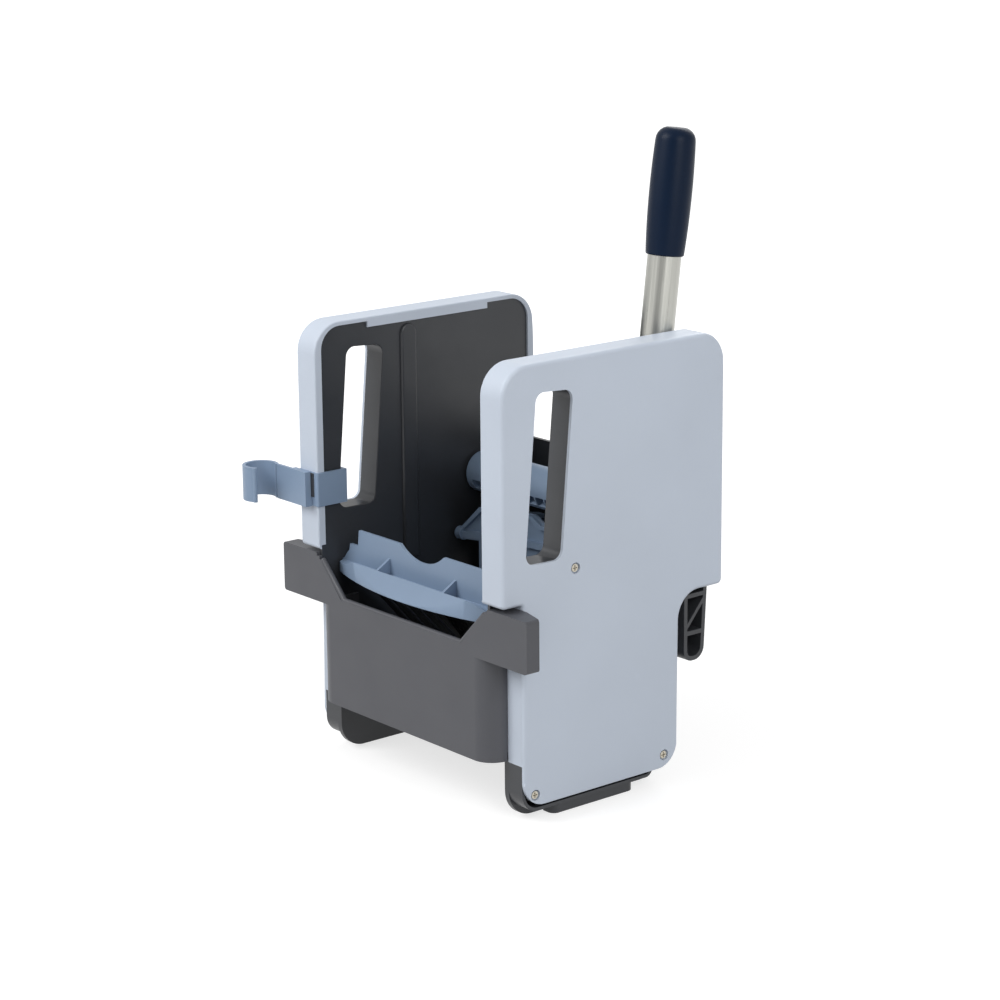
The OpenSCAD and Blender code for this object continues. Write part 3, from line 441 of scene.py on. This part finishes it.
def deselect() -> None:
    """Leaves nothing selected."""
    if bpy.context.object and bpy.context.object.mode != "OBJECT":
        bpy.ops.object.mode_set(mode="OBJECT")
    bpy.ops.object.select_all(action="DESELECT")


def activate(piece: bpy.types.Object) -> None:
    """Makes a piece the only selected one.

    Args:
        piece: The piece.
    """
    deselect()
    piece.select_set(True)
    bpy.context.view_layer.objects.active = piece


def zone(x: Pair = EVERYWHERE, y: Pair = EVERYWHERE, z: Pair = EVERYWHERE) -> Rule:
    """Makes a rule that picks the points of a box.

    Args:
        x: Range of the distance from the middle plane, in mm.
        y: Range of Y, in mm.
        z: Range of Z, in mm.

    Returns:
        The rule.
    """

    def rule(point: Vector) -> bool:
        """Says whether a point is in the box."""
        places = (abs(point.x) / MM, point.y / MM, point.z / MM)
        return all(low <= place <= high for place, (low, high) in zip(places, (x, y, z)))

    return rule


@dataclass(frozen=True)
class EdgeRound:
    """A rounding of the sharp edges whose two ends a rule picks."""

    width: float
    segments: int = 3
    rule: Rule = field(default_factory=zone)
    least: float = math.radians(35)
    clamp: bool = True

    def apply(self, piece: bpy.types.Object) -> None:
        """Bevels the picked edges of a piece that is in edit mode.

        Args:
            piece: The piece.
        """
        bpy.ops.mesh.select_all(action="DESELECT")
        shape = bmesh.from_edit_mesh(piece.data)
        picked = 0
        for edge in shape.edges:
            if len(edge.link_faces) != 2 or edge.calc_face_angle(0) < self.least:
                continue
            if all(self.rule(vert.co) for vert in edge.verts):
                edge.select = True
                picked += 1
        bmesh.update_edit_mesh(piece.data)
        if not picked:
            LOG.warning("%s: no edge to round", piece.name)
            return
        bpy.ops.mesh.bevel(
            offset_type="OFFSET",
            offset=self.width * MM,
            segments=self.segments,
            profile=0.5,
            affect="EDGES",
            clamp_overlap=self.clamp,
            miter_outer="ARC" if self.clamp else "SHARP",
        )


@dataclass(frozen=True)
class RoundedPart:
    """A part of the frame with its edges rounded as the mould or the lathe rounds them."""

    node: str
    body: Body
    slot: Slot
    rounds: tuple[EdgeRound, ...]
    smooth: float = math.radians(32)
    flat: float = math.radians(0.4)
    merge: float = 0.001 * MM
    face_weight: int = 50

    def weigh_normals(self, piece: bpy.types.Object) -> None:
        """Keeps the large faces evenly lit where small ones meet them.

        Args:
            piece: The piece, in object mode.
        """
        weigh = piece.modifiers.new("weigh", "WEIGHTED_NORMAL")
        weigh.keep_sharp = True
        weigh.weight = self.face_weight
        bpy.ops.object.modifier_apply(modifier=weigh.name)

    def build(self, palette: Palette) -> bpy.types.Object:
        """Copies the node, rounds its edges and dresses it.

        Args:
            palette: The finishes.

        Returns:
            The finished piece.
        """
        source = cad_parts[self.node]
        palette.dress(source, self.slot)
        mesh = source.data.copy()
        piece = bpy.data.objects.new(f"{self.node}_skin", mesh)
        bpy.context.scene.collection.objects.link(piece)
        activate(piece)
        if mesh.has_custom_normals:
            bpy.ops.mesh.customdata_custom_splitnormals_clear()
        bpy.ops.object.mode_set(mode="EDIT")
        bpy.ops.mesh.select_all(action="SELECT")
        bpy.ops.mesh.remove_doubles(threshold=self.merge)
        bpy.ops.mesh.dissolve_limited(angle_limit=self.flat)
        for rounding in self.rounds:
            rounding.apply(piece)
        bpy.ops.object.mode_set(mode="OBJECT")
        bpy.ops.object.shade_smooth_by_angle(angle=self.smooth)
        self.weigh_normals(piece)
        settle(piece, self.body, self.slot, (self.node,), palette)
        return piece


def settle(
    piece: bpy.types.Object, body: Body, slot: Slot, nodes: tuple[str, ...], palette: Palette
) -> None:
    """Dresses a finished piece, ties it to its body and hides the nodes that it stands for.

    Args:
        piece: The piece.
        body: The body that it rides on.
        slot: Its material slot.
        nodes: The nodes that it replaces.
        palette: The finishes.
    """
    palette.dress(piece, slot)
    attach(piece, body.value)
    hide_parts(*nodes)
    LOG.info("%s: %d faces", piece.name, len(piece.data.polygons))


class Assembly(ABC):
    """A sub-assembly that builds and dresses its own pieces."""

    @abstractmethod
    def build(self, palette: Palette) -> None:
        """Builds the pieces with the given finishes."""


@dataclass
class SidePanel(Assembly):
    """One side panel: outer cover, inner shell, foot pad and screws.

    Sizes are in mm. A field whose name ends in round is the width of a rounding. A zone picks the
    points that it holds, with its X counted from the middle plane. The rounded corners of the cover
    have their middle at corner_middle, whose first number is counted from middle_y.
    """

    side: Side
    half_width: float = 144.5
    outer_round: float = 3.9
    foot_round: float = 1.4
    foot_top: float = 37.2
    foot_overlap: float = 6.0
    slot_round: float = 1.1
    bore_round: float = 0.3
    inner_round: float = 0.5
    inner_zone: Rule = zone(x=(0, 124))
    lip_round: float = 1.6
    lip_face: float = 116.1
    lip_foot: float = 201.0
    middle_y: float = 15.0
    corner_middle: Pair = (100.0, 377.0)
    corner_radius: float = 28.0
    rib_round: float = 2.3
    rib_zone: Rule = zone(x=(115.5, 115.9), z=(150, 400))
    collar_round: float = 0.8
    collar_zone: Rule = zone(x=(117.9, 118.5), y=(-95, -28), z=(225, 388))
    hook_round: float = 0.8
    hook_zone: Rule = zone(y=(98, 130))
    sole_round: float = 1.2
    sole_zone: Rule = zone(x=(117.9, 124), y=(-92, 90), z=(0, 30))
    screw_spots: tuple[Pair, ...] = ((-78.5, 26.0), (72.3, 27.6), (-32.2, 220.6))
    screw_clear: float = 7.4
    slot_zone: Rule = zone(y=(-95, -28), z=(225, 388))
    pad_round: float = 1.2
    cover_screw_round: float = 0.25
    frame_screw_round: float = 0.4

    def word(self) -> str:
        """Returns the side's word in the nodes' names."""
        return self.side.name.lower()

    def near_screw(self, point: Vector) -> bool:
        """Says whether a point is on a screw's counterbore."""
        y, z = point.y / MM, point.z / MM
        return any(math.hypot(y - a, z - b) < self.screw_clear for a, b in self.screw_spots)

    def on_face(self, point: Vector) -> bool:
        """Says whether a point is on the cover's outer face."""
        return abs(point.x) / MM > self.half_width - 0.05

    def on_rim(self, point: Vector) -> bool:
        """Says whether a point is on the cover's outer outline."""
        return self.on_face(point) and not self.slot_zone(point) and not self.near_screw(point)

    def deep_rim(self, point: Vector) -> bool:
        """Picks the outline where the cover has a side wall."""
        return self.on_rim(point) and point.z / MM > self.foot_top

    def foot_rim(self, point: Vector) -> bool:
        """Picks the outline where only the face plate covers the foot."""
        return self.on_rim(point) and point.z / MM < self.foot_top + self.foot_overlap

    def slot_rim(self, point: Vector) -> bool:
        """Picks the outer edge of the hand slot."""
        return self.on_face(point) and self.slot_zone(point)

    def lip_rim(self, point: Vector) -> bool:
        """Picks the lip's outer outline on the side that faces the other panel.

        Args:
            point: The point, in metres.

        Returns:
            Whether the point is on that outline, above the overhang's corners.
        """
        across = max(abs(point.y / MM - self.middle_y) - self.corner_middle[0], 0.0)
        above = max(point.z / MM - self.corner_middle[1], 0.0)
        on_lip = abs(point.x) / MM < self.lip_face + 0.1 and point.z / MM > self.lip_foot
        return on_lip and math.hypot(across, above) > self.corner_radius - 1

    def counterbores(self, point: Vector) -> bool:
        """Picks the edges of the screws' counterbores."""
        return self.on_face(point) and self.near_screw(point)

    def cover(self) -> RoundedPart:
        """Describes the outer cover.

        Returns:
            The cover, not yet built.
        """
        rounds = (
            EdgeRound(self.outer_round, 6, self.deep_rim, clamp=False),
            EdgeRound(self.foot_round, 4, self.foot_rim),
            EdgeRound(self.slot_round, 3, self.slot_rim),
            EdgeRound(self.bore_round, 2, self.counterbores),
            EdgeRound(self.lip_round, 4, self.lip_rim, clamp=False),
            EdgeRound(self.inner_round, 2, self.inner_zone),
        )
        return RoundedPart(f"outer_cover_{self.word()}", Body.FRAME, Slot.COVER, rounds)

    def shell(self) -> RoundedPart:
        """Describes the inner shell with its guide rib, slot collar, hook and sole.

        Returns:
            The shell, not yet built.
        """
        rounds = (
            EdgeRound(self.rib_round, 5, self.rib_zone, clamp=False),
            EdgeRound(self.collar_round, 3, self.collar_zone),
            EdgeRound(self.hook_round, 3, self.hook_zone),
            EdgeRound(self.sole_round, 3, self.sole_zone),
        )
        return RoundedPart(f"inner_shell_{self.word()}", Body.FRAME, Slot.SHELL, rounds)

    def build(self, palette: Palette) -> None:
        """Builds and dresses the panel.

        Args:
            palette: The finishes.
        """
        self.cover().build(palette)
        self.shell().build(palette)
        for name, slot, rounding in (
            ("foot_pad", Slot.SHELL, EdgeRound(self.pad_round)),
            ("cover_screws", Slot.STEEL, EdgeRound(self.cover_screw_round, 2)),
            ("frame_screws", Slot.STEEL, EdgeRound(self.frame_screw_round, 2)),
        ):
            RoundedPart(f"{name}_{self.word()}", Body.FRAME, slot, (rounding,)).build(palette)


@dataclass
class MopWell(Assembly):
    """Apron, counter plate, strainer floor and rear wall between the panels. Sizes in mm."""

    apron_round: float = 0.8
    plate_round: float = 0.7
    floor_round: float = 0.4
    wall_round: float = 0.6

    def build(self, palette: Palette) -> None:
        """Builds and dresses the well.

        Args:
            palette: The finishes.
        """
        for node, slot, width in (
            ("front_apron", Slot.APRON, self.apron_round),
            ("counter_plate", Slot.BLUE, self.plate_round),
            ("strainer_floor", Slot.SHELL, self.floor_round),
            ("rear_wall", Slot.SHELL, self.wall_round),
        ):
            RoundedPart(node, Body.FRAME, slot, (EdgeRound(width),)).build(palette)


@dataclass
class PoleClip(Assembly):
    """Clip for a pole, with its clamp, stop block and screws. Sizes in mm."""

    crease_round: float = 4.0
    corner_round: float = 1.8
    edge_round: float = 0.8
    small_round: float = 0.3
    crease: Rule = zone(x=(160, 173), y=(-123, -117))
    crease_angle: float = math.radians(15)
    corner: Rule = zone(x=(112.5, 114), y=(-116, -114))

    def build(self, palette: Palette) -> None:
        """Builds and dresses the clip.

        Args:
            palette: The finishes.
        """
        edge = EdgeRound(self.edge_round)
        arm = (EdgeRound(self.crease_round, 6, self.crease, self.crease_angle), edge)
        clamp = (EdgeRound(self.corner_round, 4, self.corner), edge)
        RoundedPart("pole_clip", Body.FRAME, Slot.BLUE, arm).build(palette)
        RoundedPart("clip_clamp", Body.FRAME, Slot.BLUE, clamp).build(palette)
        small = (EdgeRound(self.small_round, 2),)
        RoundedPart("clip_stop", Body.FRAME, Slot.SHELL, small).build(palette)
        RoundedPart("clip_screws", Body.FRAME, Slot.STEEL, small).build(palette)


@dataclass
class Lever(Assembly):
    """Drum, socket, tube and grip that turn together on the axle. Sizes in mm."""

    drum_round: float = 0.6
    socket_round: float = 0.9
    tube_round: float = 0.25
    grip_round: float = 0.6
    steel_round: float = 0.4

    def build(self, palette: Palette) -> None:
        """Builds and dresses the lever.

        Args:
            palette: The finishes.
        """
        for node, slot, width in (
            ("drum", Slot.BLUE, self.drum_round),
            ("lever_socket", Slot.BLUE, self.socket_round),
            ("lever_tube", Slot.TUBE, self.tube_round),
            ("lever_grip", Slot.GRIP, self.grip_round),
            ("socket_bolt", Slot.STEEL, self.steel_round),
            ("socket_nut", Slot.STEEL, self.steel_round),
            ("crank_pins", Slot.STEEL, self.steel_round),
        ):
            RoundedPart(node, Body.LEVER, slot, (EdgeRound(width),)).build(palette)


@dataclass
class ReturnSpring(Assembly):
    """Torsion spring round the axle's far end, wound from wire. Sizes in mm."""

    axle_y: float = 78.0
    axle_z: float = 241.0
    wire: float = 1.1
    coil: float = 8.0
    start: float = -130.2
    pitch: float = -2.55
    turns: float = 3.2
    leg: float = 17.5
    wire_sides: int = 12
    turn_steps: int = 40
    ring_reach: float = 1.2
    smooth: float = math.radians(40)

    def build(self, palette: Palette) -> None:
        """Winds the coil from a ring of wire and draws its straight leg.

        Args:
            palette: The finishes.
        """
        deselect()
        bpy.ops.mesh.primitive_circle_add(vertices=self.wire_sides, radius=self.wire * MM)
        piece = bpy.context.object
        piece.name = "return_spring_coil"
        bpy.ops.object.mode_set(mode="EDIT")
        bpy.ops.mesh.select_all(action="SELECT")
        bpy.ops.transform.translate(value=(self.start * MM, self.coil * MM, 0.0))
        bpy.ops.object.mode_set(mode="OBJECT")
        screw = piece.modifiers.new("wind", "SCREW")
        screw.axis = "X"
        screw.angle = 2 * math.pi * self.turns
        screw.screw_offset = self.pitch * self.turns * MM
        screw.steps = screw.render_steps = round(self.turn_steps * self.turns)
        bpy.ops.object.modifier_apply(modifier=screw.name)
        bpy.ops.object.mode_set(mode="EDIT")
        self.draw_leg(piece)
        bpy.ops.mesh.select_all(action="SELECT")
        bpy.ops.mesh.fill_holes(sides=0)
        bpy.ops.mesh.select_all(action="SELECT")
        bpy.ops.mesh.normals_make_consistent(inside=False)
        bpy.ops.transform.translate(value=(0.0, self.axle_y * MM, self.axle_z * MM))
        bpy.ops.object.mode_set(mode="OBJECT")
        bpy.ops.object.shade_smooth_by_angle(angle=self.smooth)
        settle(piece, Body.FRAME, Slot.SPRING, ("return_spring",), palette)

    def draw_leg(self, piece: bpy.types.Object) -> None:
        """Extends the wire's first end downwards.

        Args:
            piece: The coil, in edit mode.
        """
        bpy.ops.mesh.select_all(action="DESELECT")
        bpy.ops.mesh.select_mode(type="EDGE")
        shape = bmesh.from_edit_mesh(piece.data)
        reach = self.wire * self.ring_reach * MM
        centre = Vector((self.start * MM, self.coil * MM, 0.0))
        for edge in shape.edges:
            if edge.is_boundary and all((vert.co - centre).length < reach for vert in edge.verts):
                edge.select = True
        bmesh.update_edit_mesh(piece.data)
        down = (0.0, 0.0, -self.leg * MM)
        bpy.ops.mesh.extrude_region_move(TRANSFORM_OT_translate={"value": down})


@dataclass
class Bearings(Assembly):
    """Axle, its bushes and washers, and the press plate's pivots. Sizes in mm."""

    turned_round: float = 0.5
    bush_round: float = 0.35
    washer_round: float = 0.2

    def build(self, palette: Palette) -> None:
        """Builds and dresses the bearings.

        Args:
            palette: The finishes.
        """
        for node, body, slot, width in (
            ("axle", Body.LEVER, Slot.STEEL, self.turned_round),
            ("thrust_washers", Body.LEVER, Slot.STEEL, self.washer_round),
            ("axle_bush_left", Body.FRAME, Slot.BEARING, self.bush_round),
            ("axle_bush_right", Body.FRAME, Slot.BEARING, self.bush_round),
            ("press_pivots", Body.FRAME, Slot.STEEL, self.turned_round),
        ):
            RoundedPart(node, body, slot, (EdgeRound(width),)).build(palette)


@dataclass
class Press(Assembly):
    """Swinging press plate with its rim, rib and slotted ears. Sizes in mm."""

    edge_round: float = 0.5

    def build(self, palette: Palette) -> None:
        """Builds and dresses the plate.

        Args:
            palette: The finishes.
        """
        rounds = (EdgeRound(self.edge_round, 2),)
        RoundedPart("press_plate", Body.PRESS, Slot.BLUE, rounds).build(palette)


@dataclass(frozen=True)
class Lamp:
    """A soft square lamp that faces the press. Metres and watts."""

    name: str
    place: Triple
    size: float
    power: float
    aim: Triple = (0.0, 0.0, 0.25)

    def build(self) -> None:
        """Hangs the lamp."""
        data = bpy.data.lights.new(self.name, "AREA")
        data.size = self.size
        data.energy = self.power
        lamp = bpy.data.objects.new(self.name, data)
        bpy.context.scene.collection.objects.link(lamp)
        lamp.location = self.place
        towards = Vector(self.aim) - Vector(self.place)
        lamp.rotation_euler = towards.to_track_quat("-Z", "Y").to_euler()


@dataclass
class Studio:
    """Floor, soft lights, white world and the camera at the photograph's angle.

    Angles are in degrees and lengths in metres, but for the lens and the sensor in mm. A glow pair is
    a distance from the press and a level. The mirrored world darkens where the cosine between a ray
    and the camera's direction goes from dark_from to dark_full.
    """

    azimuth: float = 50.40
    elevation: float = 14.379
    roll: float = -0.522
    lens: float = 101.25
    sensor: float = 36.0
    distance: float = 2.52559
    target: Triple = (0.0, 0.00427, 0.24673)
    ambient: float = 0.55
    dark_side: float = 0.1
    dark_from: float = 0.72
    dark_full: float = 0.97
    floor_shade: float = 0.42
    floor_size: float = 30.0
    floor_drop: float = 0.5 * MM
    glow_near: Pair = (0.5, 0.71)
    glow_far: Pair = (2.0, 0.93)
    clip_range: Pair = (0.05, 50.0)
    lamps: tuple[Lamp, ...] = (
        Lamp("key", (-1.0, -2.3, 2.2), 1.8, 66.0),
        Lamp("side", (2.6, -0.5, 1.5), 1.6, 34.0),
        Lamp("back", (-1.2, 2.2, 2.0), 1.6, 24.0),
    )

    def build(self) -> None:
        """Builds the whole studio."""
        self.camera()
        self.floor()
        self.world()
        for lamp in self.lamps:
            lamp.build()
        bpy.context.scene.view_settings.view_transform = "Standard"

    def backwards(self) -> Vector:
        """Returns the direction from the press to the camera."""
        a, e = math.radians(self.azimuth), math.radians(self.elevation)
        return Vector((math.sin(a) * math.cos(e), -math.cos(a) * math.cos(e), math.sin(e)))

    def camera(self) -> None:
        """Places the camera."""
        data = bpy.data.cameras.new("camera")
        data.lens = self.lens
        data.sensor_width = self.sensor
        data.clip_start, data.clip_end = self.clip_range
        camera = bpy.data.objects.new("camera", data)
        bpy.context.scene.collection.objects.link(camera)
        back = self.backwards()
        level = (-back).to_track_quat("-Z", "Y").to_matrix()
        roll = Matrix.Rotation(math.radians(self.roll), 3, "Z")
        camera.location = Vector(self.target) + back * self.distance
        camera.rotation_euler = (level @ roll).to_euler()
        bpy.context.scene.camera = camera

    @staticmethod
    def seen_directly(sketch: NodeSketch) -> Socket:
        """One where the camera, a mirror or a clear thing sees the surface.

        Args:
            sketch: The material's nodes.

        Returns:
            The factor's socket.
        """
        path = sketch.add("ShaderNodeLightPath")
        first = sketch.add("ShaderNodeMath", operation="MAXIMUM")
        second = sketch.add("ShaderNodeMath", operation="MAXIMUM")
        sketch.link(path.outputs["Is Camera Ray"], first.inputs[0])
        sketch.link(path.outputs["Is Glossy Ray"], first.inputs[1])
        sketch.link(first.outputs[0], second.inputs[0])
        sketch.link(path.outputs["Is Transmission Ray"], second.inputs[1])
        return second.outputs[0]

    def floor(self) -> None:
        """Lays a pale floor that keeps the shadow."""
        deselect()
        bpy.ops.mesh.primitive_plane_add(size=self.floor_size, location=(0, 0, -self.floor_drop))
        floor = bpy.context.object
        floor.name = "floor"
        material = new_material("floor_white")
        sketch = NodeSketch(material.node_tree)
        matt = sketch.add("ShaderNodeBsdfDiffuse")
        matt.inputs["Color"].default_value = (*[self.floor_shade] * 3, 1)
        glow = sketch.add("ShaderNodeEmission")
        glow.inputs["Color"].default_value = (1, 1, 1, 1)
        place = sketch.add("ShaderNodeTexCoord")
        away = sketch.add("ShaderNodeVectorMath", operation="LENGTH")
        sketch.link(place.outputs["Object"], away.inputs[0])
        far = sketch.spread(away.outputs["Value"], self.glow_near, self.glow_far)
        level = sketch.add("ShaderNodeMath", operation="MULTIPLY")
        sketch.link(far, level.inputs[0])
        sketch.link(self.seen_directly(sketch), level.inputs[1])
        sketch.link(level.outputs[0], glow.inputs["Strength"])
        both = sketch.add("ShaderNodeAddShader")
        sketch.link(matt.outputs[0], both.inputs[0])
        sketch.link(glow.outputs[0], both.inputs[1])
        sketch.link(both.outputs[0], sketch.output.inputs["Surface"])
        floor.data.materials.append(material)

    def world(self) -> None:
        """Makes a white world that lights the object at a plain level.

        Mirrors and gloss see it white too, but for the dark side of the studio behind the camera.
        """
        world = bpy.data.worlds.new("studio")
        bpy.context.scene.world = world
        world.use_nodes = True
        sketch = NodeSketch(world.node_tree, "ShaderNodeOutputWorld")
        sky = sketch.add("ShaderNodeBackground")
        path = sketch.add("ShaderNodeLightPath")
        place = sketch.add("ShaderNodeTexCoord")
        dot = sketch.add("ShaderNodeVectorMath", operation="DOT_PRODUCT")
        dot.inputs[1].default_value = self.backwards()
        sketch.link(place.outputs["Generated"], dot.inputs[0])
        bright, dark = (self.dark_from, 1.0), (self.dark_full, self.dark_side)
        gloss = sketch.spread(dot.outputs["Value"], bright, dark)
        seen = sketch.add("ShaderNodeMath", operation="MULTIPLY")
        sketch.link(path.outputs["Is Glossy Ray"], seen.inputs[0])
        sketch.link(gloss, seen.inputs[1])
        plain = sketch.spread(path.outputs["Is Camera Ray"], (0.0, self.ambient), (1.0, 1.0))
        level = sketch.add("ShaderNodeMix", data_type="FLOAT")
        sketch.link(path.outputs["Is Glossy Ray"], level.inputs["Factor"])
        sketch.link(plain, level.inputs[2])
        sketch.link(seen.outputs[0], level.inputs[3])
        sketch.link(level.outputs[0], sky.inputs["Strength"])
        sketch.link(sky.outputs[0], sketch.output.inputs["Surface"])


def main() -> None:
    """Builds, dresses and lights the press."""
    logging.basicConfig(level=logging.INFO, format="%(name)s: %(message)s")
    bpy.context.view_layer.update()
    palette = Palette()
    palette.build()
    assemblies: tuple[Assembly, ...] = (
        SidePanel(Side.LEFT),
        SidePanel(Side.RIGHT),
        MopWell(),
        PoleClip(),
        Lever(),
        Bearings(),
        ReturnSpring(),
        Press(),
    )
    for assembly in assemblies:
        LOG.info("building %s", type(assembly).__name__)
        assembly.build(palette)
    Studio().build()


if __name__ == "__main__":
    main()
